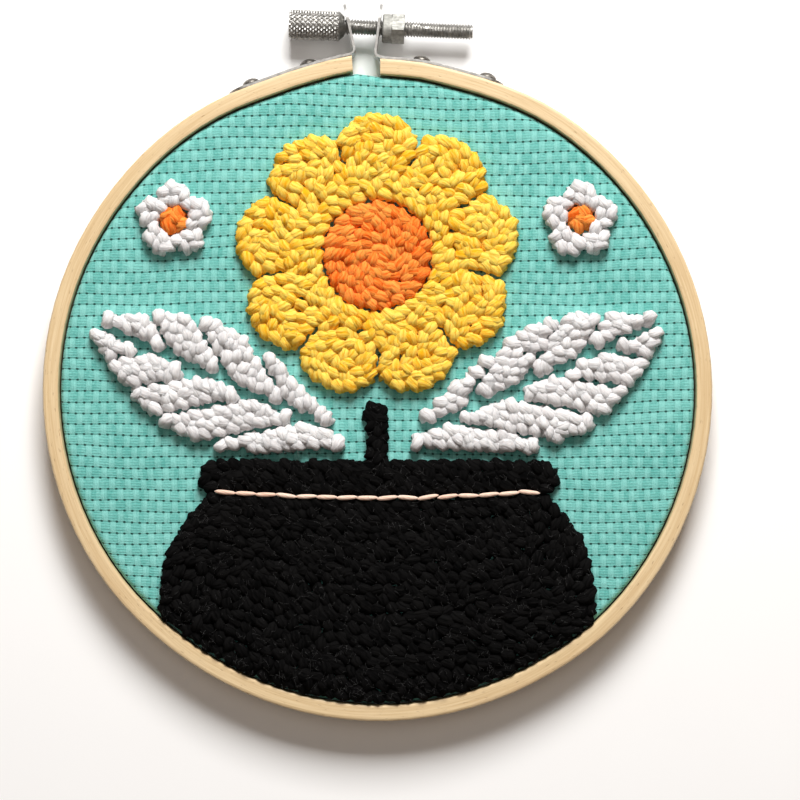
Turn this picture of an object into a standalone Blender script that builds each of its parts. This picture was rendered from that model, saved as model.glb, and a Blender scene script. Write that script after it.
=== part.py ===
"""Punch needle wall piece in a split wooden embroidery hoop, lying on its back.

Metres. +Z points out of the worked front, +X to the right and +Y towards the hoop's screw. The
world origin is the middle of the whole object on the plane of its back rims. All pieces are
modelled round the hoop's own centre, the empty "hoop_centre".
"""

import math

import bmesh
import bpy
from mathutils import Vector

COLLECTION_NAME = "punch_needle_wall_piece"
GAP = 0.0003  # left between neighbouring pieces

# Split outer ring. RING_OUTLINE holds the clockwise angle from the top in degrees and the outer
# radius there: the ring is nearly round, flatter near the top and peaked at its two ends.
RING_OUTLINE = (
    (0.5, 0.0793),
    (8.0, 0.0791),
    (14.0, 0.0787),
    (22.0, 0.0789),
    (31.0, 0.0794),
    (42.0, 0.0795),
    (60.0, 0.0796),
    (90.0, 0.0799),
    (112.0, 0.0798),
    (136.0, 0.0797),
    (152.0, 0.0791),
    (180.0, 0.0789),
    (205.0, 0.0787),
    (220.0, 0.0789),
    (236.0, 0.0795),
    (260.0, 0.0798),
    (290.0, 0.0798),
    (306.0, 0.0796),
    (318.0, 0.0796),
    (326.0, 0.0795),
    (333.0, 0.0792),
    (340.0, 0.0788),
    (347.0, 0.0792),
    (352.0, 0.0798),
    (355.6, 0.0803),
)
RIGHT_END = 0.5  # angle of the ring's end at the right of the gap, in degrees
LEFT_END = 355.6  # the same at the left
RING_DEPTH = 0.010
RING_WALL = 0.0039
RING_EDGE_RADIUS = 0.0009

# Cloth, stretched over the inner ring with its edge held between the rings.
CLOTH_FACE = 0.0090  # height of the cloth's front above the back rims
CLOTH_THICK = 0.0010
CLOTH_CORNER_RADIUS = 0.0014
SKIRT_END = 0.0008  # height of the trimmed edge
INNER_WALL = 0.0040
INNER_EDGE_RADIUS = 0.0007
SWEEP_STEPS = 96

# Clamp: two bent straps with ears, four rivets, a shouldered nut and a thumbscrew.
STRAP_THICK = 0.0006
STRAP_WIDTH = 0.0080
STRAP_STEPS = 14
CLAMP_HEIGHT = RING_DEPTH / 2
# side: angle of the strap's far end and of its last point on the ring, then the across and up
# positions of the ear's foot and tip from the hoop's centre, and the angles of the two rivets
STRAPS = {
    "left": (333.4, 354.7, (-0.00555, 0.0820), (-0.00800, 0.0929), (337.6, 348.0)),
    "right": (22.4, 1.4, (-0.00050, 0.0813), (0.00100, 0.0929), (19.4, 7.6)),
}
BEND_REACH = 0.0012  # how far each end of the bend below an ear pulls its curve
HOLE_RADIUS = 0.0024
RIVET_HOLE_RADIUS = 0.0013
RIVET_SHANK_RADIUS = 0.0010
RIVET_HEAD_RADIUS = 0.0021
RIVET_HEAD_HEIGHT = 0.0009
RIVET_SHANK_LENGTH = 0.0046

SCREW_ACROSS = -0.0030  # a point of the screw's axis between the ears
SCREW_UP = 0.08724
SCREW_TILT = math.radians(-2.5)
HEAD_START = -0.01825  # along the axis from that point, towards the right
HEAD_TAPER = -0.0063
HEAD_END = -0.0050
ROD_END = 0.0259
HEAD_RADIUS = 0.0036
HEAD_NECK_RADIUS = 0.0024
ROD_RADIUS = 0.0020
SHOULDER_START = 0.0042
HEXAGON_START = 0.0064
NUT_END = 0.0095
SHOULDER_RADIUS = 0.0035
HEXAGON_RADIUS = 0.00405  # to its corners
HEXAGON_TURN = math.radians(9.0)
NUT_BORE_RADIUS = 0.0023

# Stitched areas, placed from the hoop's centre: across, then up.
PILE_LOW = CLOTH_FACE + GAP
PILE_HIGH = 0.0130
PILE_MARGIN = 0.0009  # between the pile and the cloth's outer edge
POT_SIDE = (  # half width, height
    (0.0400, -0.0168),
    (0.0425, -0.0190),
    (0.0425, -0.0228),
    (0.0405, -0.0252),
    (0.0450, -0.0302),
    (0.0490, -0.0362),
    (0.0512, -0.0432),
    (0.0518, -0.0488),
)
STEM_HALF_WIDTH = 0.0026
STEM_TOP = -0.0030
FLOWER_UP = 0.0320
PETALS = 9
PETAL_REACH = 0.0230  # from the flower's middle to the middle of a petal's round end
PETAL_RADIUS = 0.0110
FLOWER_HOLE_RADIUS = 0.0133
FLOWER_CENTRE_RADIUS = 0.0130
LEAF_FOOT = (0.0050, -0.0122)
LEAF_TIP = (0.0690, 0.0165)
LEAF_HALVES = {  # bulge, then how far it sits towards the tip and how pointed its ends are
    "upper": (0.0112, 1.25, 1.1),
    "lower": (0.0150, 1.10, 0.9),
}
MIDRIB_HALF_WIDTH = 0.0010
LEAF_STEPS = 20
BLOSSOM_ACROSS = 0.0485
BLOSSOM_UP = 0.0405
BLOSSOM_PETALS = 5
BLOSSOM_REACH = 0.0052
BLOSSOM_PETAL_RADIUS = 0.0040
BLOSSOM_HOLE_RADIUS = 0.0036
BLOSSOM_CENTRE_RADIUS = 0.0033

# The whole object reaches from the bottom of the ring to the tips of the ears.
LOWEST = -0.0789
HIGHEST = 0.0929
HOOP_CENTRE = Vector((0.0, -(LOWEST + HIGHEST) / 2, 0.0))


def clear_scene():
    for old in list(bpy.data.objects):
        bpy.data.objects.remove(old, do_unlink=True)


def new_collection(name):
    collection = bpy.data.collections.new(name)
    bpy.context.scene.collection.children.link(collection)
    return collection


def new_material(name, colour, roughness, metallic=0.0):
    material = bpy.data.materials.new(name)
    material.use_nodes = True
    shader = material.node_tree.nodes["Principled BSDF"]
    shader.inputs["Base Color"].default_value = (*colour, 1.0)
    shader.inputs["Roughness"].default_value = roughness
    shader.inputs["Metallic"].default_value = metallic
    material.diffuse_color = (*colour, 1.0)
    return material


def place(name, data, material, collection, parent):
    """Adds an object for this mesh or curve, in the hoop's own frame."""
    piece = bpy.data.objects.new(name, data)
    collection.objects.link(piece)
    piece.parent = parent
    if material is not None:
        data.materials.append(material)
    return piece


def as_cutter(piece):
    piece.hide_render = True
    piece.display_type = "WIRE"
    return piece


def cut(piece, cutter):
    modifier = piece.modifiers.new("cut_" + cutter.name, "BOOLEAN")
    modifier.operation = "DIFFERENCE"
    modifier.solver = "EXACT"
    modifier.object = cutter


def outline_radius(degrees):
    """The ring's outer radius, smooth through the rows of RING_OUTLINE all the way round."""
    count = len(RING_OUTLINE)

    def row(index):
        angle, radius = RING_OUTLINE[index % count]
        return angle + 360 * (index // count), radius

    degrees = degrees % 360
    first = max(index for index in range(-1, count) if row(index)[0] <= degrees)
    (a0, r0), (a1, r1), (a2, r2), (a3, r3) = (row(first + step) for step in (-1, 0, 1, 2))
    share = (degrees - a1) / (a2 - a1)
    slope1 = (r2 - r0) / (a2 - a0) * (a2 - a1)
    slope2 = (r3 - r1) / (a3 - a1) * (a2 - a1)
    return (
        (2 * share**3 - 3 * share**2 + 1) * r1
        + (share**3 - 2 * share**2 + share) * slope1
        + (3 * share**2 - 2 * share**3) * r2
        + (share**3 - share**2) * slope2
    )


def ring_point(degrees, offset, height=0.0):
    """The point this far outside the ring's outer surface, at a clockwise angle from the top."""
    angle = math.radians(degrees)
    radius = outline_radius(degrees) + offset
    return Vector((radius * math.sin(angle), radius * math.cos(angle), height))


def rounded_section(inner, outer, low, high, radius):
    """Corner-rounded rectangle of (offset, height) points, counter-clockwise."""
    corners = (
        (outer - radius, low + radius, -90),
        (outer - radius, high - radius, 0),
        (inner + radius, high - radius, 90),
        (inner + radius, low + radius, 180),
    )
    return [
        (
            across + radius * math.cos(math.radians(start + turn)),
            up + radius * math.sin(math.radians(start + turn)),
        )
        for across, up, start in corners
        for turn in (0, 45, 90)
    ]


def swept_ring(name, section, angles, closed, material, collection, parent):
    """A section carried round the hoop's outline, which isn't a circle, so Screw can't turn it."""
    shape = bmesh.new()
    loops = [[shape.verts.new(ring_point(a, off, up)) for off, up in section] for a in angles]
    pairs = list(zip(loops, loops[1:]))
    if closed:
        pairs.append((loops[-1], loops[0]))
    else:
        shape.faces.new(loops[0])
        shape.faces.new(loops[-1])
    for here, there in pairs:
        for index in range(len(section)):
            following = (index + 1) % len(section)
            shape.faces.new((here[index], here[following], there[following], there[index]))
    bmesh.ops.recalc_face_normals(shape, faces=shape.faces)
    mesh = bpy.data.meshes.new(name)
    shape.to_mesh(mesh)
    shape.free()
    mesh.shade_smooth()
    mesh.set_sharp_from_angle(angle=math.radians(50))
    return place(name, mesh, material, collection, parent)


def build_outer_ring(wood, collection, parent):
    section = rounded_section(-RING_WALL, 0.0, 0.0, RING_DEPTH, RING_EDGE_RADIUS)
    span = LEFT_END - RIGHT_END
    angles = [RIGHT_END + span * step / SWEEP_STEPS for step in range(SWEEP_STEPS + 1)]
    return swept_ring("outer_ring", section, angles, False, wood, collection, parent)


def build_inner_ring(wood, collection, parent):
    outer = -RING_WALL - GAP - CLOTH_THICK - GAP
    top = CLOTH_FACE - CLOTH_THICK - GAP
    section = rounded_section(outer - INNER_WALL, outer, 0.0, top, INNER_EDGE_RADIUS)
    angles = [360 * step / SWEEP_STEPS for step in range(SWEEP_STEPS)]
    return swept_ring("inner_ring", section, angles, True, wood, collection, parent)


def build_cloth(weave, collection, parent):
    """The cloth's front surface as rings from the middle out and down the skirt, then Solidify."""
    edge = -RING_WALL - GAP
    corner = edge - CLOTH_CORNER_RADIUS
    rows = [(-0.050, CLOTH_FACE), (-0.025, CLOTH_FACE)]
    for turn in (0, 30, 60, 90):
        rise = CLOTH_CORNER_RADIUS * (math.cos(math.radians(turn)) - 1)
        rows.append((corner + CLOTH_CORNER_RADIUS * math.sin(math.radians(turn)), CLOTH_FACE + rise))
    rows.append((edge, SKIRT_END))
    angles = [360 * step / SWEEP_STEPS for step in range(SWEEP_STEPS)]
    shape = bmesh.new()
    middle = shape.verts.new((0.0, 0.0, CLOTH_FACE))
    loops = [[shape.verts.new(ring_point(a, offset, up)) for a in angles] for offset, up in rows]
    for index in range(SWEEP_STEPS):
        following = (index + 1) % SWEEP_STEPS
        shape.faces.new((middle, loops[0][following], loops[0][index]))
        for here, there in zip(loops, loops[1:]):
            shape.faces.new((here[index], here[following], there[following], there[index]))
    mesh = bpy.data.meshes.new("cloth")
    shape.to_mesh(mesh)
    shape.free()
    mesh.shade_smooth()
    cloth = place("cloth", mesh, weave, collection, parent)
    sheet = cloth.modifiers.new("thickness", "SOLIDIFY")
    sheet.thickness = CLOTH_THICK
    sheet.offset = -1.0
    sheet.use_even_offset = True
    return cloth


def bezier(start, start_pull, end_pull, end, share):
    rest = 1 - share
    return (
        rest**3 * start
        + 3 * rest**2 * share * start_pull
        + 3 * rest * share**2 * end_pull
        + share**3 * end
    )


def strap_route(far_end, last_angle, foot, tip):
    """The strap's middle line: along the ring, round the bend and up the ear."""
    offset = GAP + STRAP_THICK / 2
    along = [
        ring_point(far_end + (last_angle - far_end) * step / STRAP_STEPS, offset)
        for step in range(STRAP_STEPS + 1)
    ]
    foot = Vector((*foot, 0.0))
    tip = Vector((*tip, 0.0))
    onward = (along[-1] - along[-2]).normalized() * BEND_REACH
    downward = (foot - tip).normalized() * BEND_REACH
    bend = [
        bezier(along[-1], along[-1] + onward, foot + downward, foot, step / 10)
        for step in range(1, 11)
    ]
    ear = [foot.lerp(tip, step / 8) for step in range(1, 9)]
    return along + bend + ear


def with_round_ends(route, radius):
    """Adds points near both ends of a route, so that its rows can close in as half circles."""
    for _ in range(2):
        end, before = route[-1], route[-2]
        back = (before - end).normalized()
        while (route[-1] - end).length < radius * 1.2 and len(route) > 2:
            route.pop()
        for share in (1.0, 0.75, 0.5, 0.3, 0.15, 0.04):
            route.append(end + back * radius * share)
        route.reverse()
    return route


def build_strap(side, steel, collection, cutters, parent, screw_hole):
    far_end, last_angle, foot, tip, rivet_angles = STRAPS[side]
    half = STRAP_WIDTH / 2
    route = with_round_ends(strap_route(far_end, last_angle, foot, tip), half)
    lengths = [0.0]
    for before, after in zip(route, route[1:]):
        lengths.append(lengths[-1] + (after - before).length)
    first_cap = 0.04 * half
    total = lengths[-1] + 2 * first_cap
    shape = bmesh.new()
    rows = []
    for point, length in zip(route, lengths):
        inset = min(length + first_cap, total - length - first_cap, half)
        reach = math.sqrt(half**2 - (half - inset) ** 2)
        rows.append(
            [shape.verts.new((point.x, point.y, CLAMP_HEIGHT + up)) for up in (-reach, reach)]
        )
    for (low, high), (next_low, next_high) in zip(rows, rows[1:]):
        shape.faces.new((low, next_low, next_high, high))
    bmesh.ops.recalc_face_normals(shape, faces=shape.faces)
    name = "strap_" + side
    mesh = bpy.data.meshes.new(name)
    shape.to_mesh(mesh)
    shape.free()
    mesh.shade_smooth()
    strap = place(name, mesh, steel, collection, parent)
    sheet = strap.modifiers.new("thickness", "SOLIDIFY")
    sheet.thickness = STRAP_THICK
    sheet.offset = 0.0
    sheet.use_even_offset = True
    cut(strap, screw_hole)
    for number, angle in enumerate(rivet_angles, 1):
        cut(strap, cutters.objects[f"rivet_hole_{side}_{number}"])
    return strap


def cylinder(name, radius, start, end, sides, collection, parent):
    """A plain cylinder between two points of the hoop's own frame."""
    axis = end - start
    shape = bmesh.new()
    bmesh.ops.create_cone(
        shape, cap_ends=True, segments=sides, radius1=radius, radius2=radius, depth=axis.length
    )
    mesh = bpy.data.meshes.new(name)
    shape.to_mesh(mesh)
    shape.free()
    piece = place(name, mesh, None, collection, parent)
    piece.location = (start + end) / 2
    piece.rotation_euler = axis.to_track_quat("Z", "Y").to_euler()
    return piece


def turned(name, profile, steps, material, collection, parent):
    """A (radius, height) profile turned round its own Z, from its upper end down the outside."""
    mesh = bpy.data.meshes.new(name)
    shape = bmesh.new()
    points = [shape.verts.new((radius, 0.0, height)) for radius, height in profile]
    closed = profile[0][0] > 0
    pairs = list(zip(points, points[1:]))
    if closed:
        pairs.append((points[-1], points[0]))
    for pair in pairs:
        shape.edges.new(pair)
    shape.to_mesh(mesh)
    shape.free()
    piece = place(name, mesh, material, collection, parent)
    screw = piece.modifiers.new("turn", "SCREW")
    screw.steps = steps
    screw.render_steps = steps
    screw.use_merge_vertices = not closed
    screw.merge_threshold = 0.00001
    screw.use_smooth_shade = True
    return piece


def rivet_axis(angle):
    """The point where a rivet's axis meets the outside of its strap, and the way outwards."""
    surface = ring_point(angle, GAP + STRAP_THICK, CLAMP_HEIGHT)
    tangent = ring_point(angle + 0.5, 0.0) - ring_point(angle - 0.5, 0.0)
    return surface, Vector((-tangent.y, tangent.x, 0.0)).normalized()


def build_rivets(steel, collection, parent):
    turns = [math.radians(turn) for turn in (0, 22.5, 45, 67.5, 84)]
    dome = [
        (RIVET_HEAD_RADIUS * math.sin(turn), RIVET_HEAD_HEIGHT * math.cos(turn)) for turn in turns
    ]
    profile = dome + [
        (RIVET_HEAD_RADIUS, 0.0),
        (RIVET_SHANK_RADIUS, 0.0),
        (RIVET_SHANK_RADIUS, -RIVET_SHANK_LENGTH),
        (0.0, -RIVET_SHANK_LENGTH),
    ]
    for side, (_, _, _, _, angles) in STRAPS.items():
        for number, angle in enumerate(angles, 1):
            rivet = turned(f"rivet_{side}_{number}", profile, 20, steel, collection, parent)
            surface, outward = rivet_axis(angle)
            rivet.location = surface + outward * GAP
            rivet.rotation_euler = outward.to_track_quat("Z", "Y").to_euler()


def build_rivet_holes(cutters, parent):
    """Cutters through each strap and right through the ring's wall."""
    for side, (_, _, _, _, angles) in STRAPS.items():
        for number, angle in enumerate(angles, 1):
            surface, outward = rivet_axis(angle)
            hole = cylinder(
                f"rivet_hole_{side}_{number}",
                RIVET_HOLE_RADIUS,
                surface - outward * (RING_WALL + 0.002),
                surface + outward * 0.001,
                20,
                cutters,
                parent,
            )
            as_cutter(hole)


def screw_point(along):
    """The point this far along the screw's axis, in the hoop's own frame."""
    start = Vector((SCREW_ACROSS, SCREW_UP, CLAMP_HEIGHT))
    return start + Vector((math.cos(SCREW_TILT), math.sin(SCREW_TILT), 0.0)) * along


def axis_empty(collection, parent):
    """The thumbscrew's own axis: its Z runs along the screw towards the right."""
    axis = bpy.data.objects.new("screw_axis", None)
    axis.empty_display_size = 0.01
    collection.objects.link(axis)
    axis.parent = parent
    axis.location = screw_point(0.0)
    axis.rotation_euler = (screw_point(1.0) - screw_point(0.0)).to_track_quat("Z", "Y").to_euler()
    return axis


def build_thumbscrew(steel, collection, axis):
    chamfer = 0.0004
    profile = (
        (0.0, ROD_END),
        (ROD_RADIUS - chamfer, ROD_END),
        (ROD_RADIUS, ROD_END - chamfer),
        (ROD_RADIUS, HEAD_END),
        (HEAD_NECK_RADIUS, HEAD_END),
        (HEAD_RADIUS, HEAD_TAPER),
        (HEAD_RADIUS, HEAD_START + chamfer),
        (HEAD_RADIUS - chamfer, HEAD_START),
        (0.0, HEAD_START),
    )
    return turned("thumbscrew", profile, 32, steel, collection, axis)


def build_nut(steel, collection, cutters, axis):
    """A hexagon with a round shoulder towards the ear, bored for the rod."""
    overlap = 0.0004
    edge = 0.0003
    shoulder = turned(
        "nut_shoulder",
        (
            (0.0, HEXAGON_START + overlap),
            (SHOULDER_RADIUS, HEXAGON_START + overlap),
            (SHOULDER_RADIUS, SHOULDER_START + edge),
            (SHOULDER_RADIUS - edge, SHOULDER_START),
            (0.0, SHOULDER_START),
        ),
        32,
        None,
        cutters,
        axis,
    )
    as_cutter(shoulder)
    corner = 0.0005
    rounding = turned(
        "nut_rounding",
        (
            (0.0, NUT_END),
            (HEXAGON_RADIUS - corner, NUT_END),
            (HEXAGON_RADIUS + 0.0001, NUT_END - 0.6 * corner),
            (HEXAGON_RADIUS + 0.0001, HEXAGON_START + 0.6 * corner),
            (HEXAGON_RADIUS - corner, HEXAGON_START),
            (0.0, HEXAGON_START),
        ),
        32,
        None,
        cutters,
        axis,
    )
    as_cutter(rounding)
    start = Vector((0.0, 0.0, HEXAGON_START - 0.001))
    end = Vector((0.0, 0.0, NUT_END + 0.001))
    nut = cylinder("nut", HEXAGON_RADIUS, start, end, 6, collection, axis)
    nut.rotation_euler.z = HEXAGON_TURN
    nut.data.materials.append(steel)
    keep = nut.modifiers.new("rounding", "BOOLEAN")
    keep.operation = "INTERSECT"
    keep.solver = "EXACT"
    keep.object = rounding
    join = nut.modifiers.new("shoulder", "BOOLEAN")
    join.operation = "UNION"
    join.solver = "EXACT"
    join.object = shoulder
    bore_start = Vector((0.0, 0.0, SHOULDER_START - 0.001))
    bore = cylinder("nut_bore", NUT_BORE_RADIUS, bore_start, end, 28, cutters, axis)
    cut(nut, as_cutter(bore))
    return nut


def stitched_area(name, outlines, material, collection, parent):
    """Loop pile over one or more closed outlines; an outline inside another is a hole."""
    curve = bpy.data.curves.new(name, "CURVE")
    curve.dimensions = "2D"
    curve.fill_mode = "BOTH"
    curve.extrude = (PILE_HIGH - PILE_LOW) / 2
    for outline in outlines:
        spline = curve.splines.new("POLY")
        spline.points.add(len(outline) - 1)
        spline.use_cyclic_u = True
        for point, (across, up) in zip(spline.points, outline):
            point.co = (across, up, 0.0, 1.0)
    area = place(name, curve, material, collection, parent)
    area.location.z = (PILE_HIGH + PILE_LOW) / 2
    return area


def circle_outline(across, up, radius, steps):
    turns = [2 * math.pi * step / steps for step in range(steps)]
    return [(across + radius * math.cos(turn), up + radius * math.sin(turn)) for turn in turns]


def petal_outline(across, up, petals, reach, radius, steps):
    """The outside of equal round petals, one of them pointing straight up."""
    outline = []
    half = math.pi / petals
    for petal in range(petals):
        middle = math.pi / 2 + 2 * half * petal
        for step in range(steps):
            turn = -half + 2 * half * step / steps
            side = reach * math.sin(turn)
            distance = reach * math.cos(turn) + math.sqrt(radius**2 - side**2)
            outline.append(
                (
                    across + distance * math.cos(middle + turn),
                    up + distance * math.sin(middle + turn),
                )
            )
    return outline


def pile_edge(degrees):
    """A point of the pile's limit next to the hoop, at a clockwise angle from the top."""
    return ring_point(degrees, -RING_WALL - GAP - PILE_MARGIN).xy


def pot_outline():
    """A bellied pot with a lip and a stem, whose foot runs off under the hoop's lower edge."""
    right_side = [(STEM_HALF_WIDTH, STEM_TOP), (STEM_HALF_WIDTH, POT_SIDE[0][1]), *POT_SIDE]
    half_width = POT_SIDE[-1][0]
    turn = 180 - math.degrees(math.asin(half_width / pile_edge(135).length))
    steps = 26
    foot = [tuple(pile_edge(turn + (360 - 2 * turn) * step / steps)) for step in range(steps + 1)]
    left_side = [(-across, up) for across, up in reversed(right_side)]
    return right_side + foot + left_side


def leaf_outline(side, half):
    """One half of a pointed leaf: the straight midrib's edge and a bulged outer edge."""
    foot = Vector(LEAF_FOOT)
    along = Vector(LEAF_TIP) - foot
    upward = Vector((-along.y, along.x)).normalized()
    direction = 1 if half == "upper" else -1
    bulge, lean, point_power = LEAF_HALVES[half]
    outline = []
    for step in range(LEAF_STEPS + 1):
        share = step / LEAF_STEPS
        swell = max(0.0, math.sin(math.pi * share**lean)) ** point_power
        reach = MIDRIB_HALF_WIDTH + bulge * swell
        outline.append(foot + along * share + upward * direction * reach)
    inset = 0.001 / along.length
    for share in (1 - inset, inset):
        outline.append(foot + along * share + upward * direction * MIDRIB_HALF_WIDTH)
    outline = outline[1:LEAF_STEPS] + outline[LEAF_STEPS + 1 :]
    mirror = -1 if side == "left" else 1
    return [(mirror * point.x, point.y) for point in outline]


def build_stitched_areas(yarns, collection, parent):
    stitched_area("pot", [pot_outline()], yarns["black"], collection, parent)
    flower = [
        petal_outline(0.0, FLOWER_UP, PETALS, PETAL_REACH, PETAL_RADIUS, 10),
        circle_outline(0.0, FLOWER_UP, FLOWER_HOLE_RADIUS, 32),
    ]
    stitched_area("flower", flower, yarns["yellow"], collection, parent)
    centre = circle_outline(0.0, FLOWER_UP, FLOWER_CENTRE_RADIUS, 32)
    stitched_area("flower_centre", [centre], yarns["orange"], collection, parent)
    for side, sign in (("left", -1), ("right", 1)):
        for half in ("upper", "lower"):
            name = f"leaf_{side}_{half}"
            stitched_area(name, [leaf_outline(side, half)], yarns["white"], collection, parent)
        across = sign * BLOSSOM_ACROSS
        blossom = [
            petal_outline(
                across, BLOSSOM_UP, BLOSSOM_PETALS, BLOSSOM_REACH, BLOSSOM_PETAL_RADIUS, 8
            ),
            circle_outline(across, BLOSSOM_UP, BLOSSOM_HOLE_RADIUS, 20),
        ]
        stitched_area("blossom_" + side, blossom, yarns["white"], collection, parent)
        centre = circle_outline(across, BLOSSOM_UP, BLOSSOM_CENTRE_RADIUS, 20)
        name = f"blossom_{side}_centre"
        stitched_area(name, [centre], yarns["orange"], collection, parent)


def build():
    clear_scene()
    collection = new_collection(COLLECTION_NAME)
    cutters = new_collection("cutters")
    parent = bpy.data.objects.new("hoop_centre", None)
    collection.objects.link(parent)
    parent.location = HOOP_CENTRE

    wood = new_material("pale_wood", (0.83, 0.64, 0.39), 0.55)
    weave = new_material("turquoise_weave", (0.19, 0.51, 0.44), 0.90)
    steel = new_material("bright_steel", (0.62, 0.61, 0.59), 0.30, 1.0)
    yarns = {
        "black": new_material("black_yarn", (0.006, 0.006, 0.006), 0.95),
        "yellow": new_material("yellow_yarn", (0.95, 0.55, 0.05), 0.90),
        "orange": new_material("orange_yarn", (0.90, 0.23, 0.035), 0.90),
        "white": new_material("white_yarn", (0.72, 0.70, 0.69), 0.90),
    }

    outer_ring = build_outer_ring(wood, collection, parent)
    build_inner_ring(wood, collection, parent)
    build_cloth(weave, collection, parent)
    build_stitched_areas(yarns, collection, parent)

    axis = axis_empty(collection, parent)
    start = screw_point(-0.010)
    screw_hole = cylinder("screw_hole", HOLE_RADIUS, start, screw_point(0.010), 28, cutters, parent)
    as_cutter(screw_hole)
    build_rivet_holes(cutters, parent)
    for side in STRAPS:
        build_strap(side, steel, collection, cutters, parent, screw_hole)
    for hole in cutters.objects:
        if hole.name.startswith("rivet_hole"):
            cut(outer_ring, hole)
    build_rivets(steel, collection, parent)
    build_nut(steel, collection, cutters, axis)
    build_thumbscrew(steel, collection, axis)


build()
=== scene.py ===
"""Punch needle wall piece in a split wooden hoop: every piece's looks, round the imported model.

Metres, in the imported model's frame: +Z out of the worked front, +Y towards the thumbscrew.
"""

import math

import bmesh
import bpy
import numpy as np
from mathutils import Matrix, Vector
from mathutils.bvhtree import BVHTree


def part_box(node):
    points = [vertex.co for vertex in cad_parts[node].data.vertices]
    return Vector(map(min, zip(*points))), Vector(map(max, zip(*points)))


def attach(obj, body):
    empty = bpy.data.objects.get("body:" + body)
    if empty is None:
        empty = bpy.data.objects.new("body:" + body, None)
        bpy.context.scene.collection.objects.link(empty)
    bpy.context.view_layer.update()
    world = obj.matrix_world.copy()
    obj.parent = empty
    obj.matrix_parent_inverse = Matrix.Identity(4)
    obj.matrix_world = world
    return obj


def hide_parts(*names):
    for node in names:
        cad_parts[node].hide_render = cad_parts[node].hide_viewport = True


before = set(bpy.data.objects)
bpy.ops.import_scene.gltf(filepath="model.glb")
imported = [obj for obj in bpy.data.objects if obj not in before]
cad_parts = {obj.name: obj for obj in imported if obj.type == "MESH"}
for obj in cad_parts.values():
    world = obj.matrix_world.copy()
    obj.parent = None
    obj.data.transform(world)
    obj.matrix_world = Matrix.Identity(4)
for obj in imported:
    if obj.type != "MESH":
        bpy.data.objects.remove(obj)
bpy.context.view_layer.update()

# Camera, light and floor. The piece lies on its back on a white table, with one soft window-like
# light from beyond its top edge and pale light from all round.
RING_REACH = 0.0789  # from the hoop's own centre down to its lowest point
HOOP_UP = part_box("outer_ring")[0].y + RING_REACH  # the hoop's own centre, up from the origin
VIEW_POINT = Vector((0.0054, -0.0095, 0.010))
VIEW_DISTANCE = 1.059
VIEW_ELEVATION = math.radians(87.6)

camera_data = bpy.data.cameras.new("camera")
camera_data.lens = 200.0
camera_data.clip_start = 0.01
camera = bpy.data.objects.new("camera", camera_data)
bpy.context.collection.objects.link(camera)
towards_camera = Vector((0.0, -math.cos(VIEW_ELEVATION), math.sin(VIEW_ELEVATION)))
camera.location = VIEW_POINT + towards_camera * VIEW_DISTANCE
camera.rotation_euler = (-towards_camera).to_track_quat("-Z", "Y").to_euler()
bpy.context.scene.camera = camera
bpy.context.scene.view_settings.view_transform = "Standard"

LIGHTS = {  # place, size across, power in watts, colour
    "window_light": ((0.09, 0.78, 0.70), 0.46, 17.0, (1.0, 0.99, 0.975)),
    "overhead_fill": ((-0.10, 0.10, 1.60), 0.90, 2.7, (1.0, 0.95, 0.89)),
}
for name, (place, size, power, colour) in LIGHTS.items():
    light_data = bpy.data.lights.new(name, "AREA")
    light_data.size = size
    light_data.energy = power
    light_data.color = colour
    light = bpy.data.objects.new(name, light_data)
    bpy.context.collection.objects.link(light)
    light.location = place
    light.rotation_euler = (-Vector(place)).to_track_quat("-Z", "Y").to_euler()

world = bpy.data.worlds.new("pale_room")
world.use_nodes = True
world.node_tree.nodes["Background"].inputs["Color"].default_value = (1.0, 0.82, 0.70, 1.0)
world.node_tree.nodes["Background"].inputs["Strength"].default_value = 0.13
bpy.context.scene.world = world


def add_node(tree, kind, sockets=(), **settings):
    """A shader node with these settings, and each socket joined to a socket or set to a value."""
    node = tree.nodes.new(kind)
    for name, value in settings.items():
        setattr(node, name, value)
    for name, value in dict(sockets).items():
        if isinstance(value, bpy.types.NodeSocket):
            tree.links.new(value, node.inputs[name])
        else:
            node.inputs[name].default_value = value
    return node


def calc(tree, operation, first, second=0.0, third=0.0):
    values = {0: first, 1: second, 2: third}
    return add_node(tree, "ShaderNodeMath", values, operation=operation).outputs[0]


def ramp(tree, value, start, end, low=0.0, high=1.0):
    """value mapped smoothly from start..end to low..high."""
    sockets = {
        "Value": value, "From Min": start, "From Max": end, "To Min": low, "To Max": high,
    }
    node = add_node(tree, "ShaderNodeMapRange", sockets, interpolation_type="SMOOTHSTEP")
    return node.outputs["Result"]


def noise(tree, vector, scale, detail=2.0, roughness=0.5):
    sockets = {"Vector": vector, "Scale": scale, "Detail": detail, "Roughness": roughness}
    return add_node(tree, "ShaderNodeTexNoise", sockets).outputs["Fac"]


def triple(tree, x, y, z):
    sockets = {"X": x, "Y": y, "Z": z}
    return add_node(tree, "ShaderNodeCombineXYZ", sockets).outputs["Vector"]


def blend_colours(tree, share, first, second):
    """Colours mixed by share, where first and second are colours or sockets."""
    node = tree.nodes.new("ShaderNodeMix")
    node.data_type = "RGBA"
    colour_a, colour_b = [s for s in node.inputs if s.type == "RGBA"][:2]
    for socket, value in ((node.inputs[0], share), (colour_a, first), (colour_b, second)):
        if isinstance(value, bpy.types.NodeSocket):
            tree.links.new(value, socket)
        else:
            socket.default_value = value if socket is node.inputs[0] else (*value, 1.0)
    return [s for s in node.outputs if s.type == "RGBA"][0]


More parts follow.
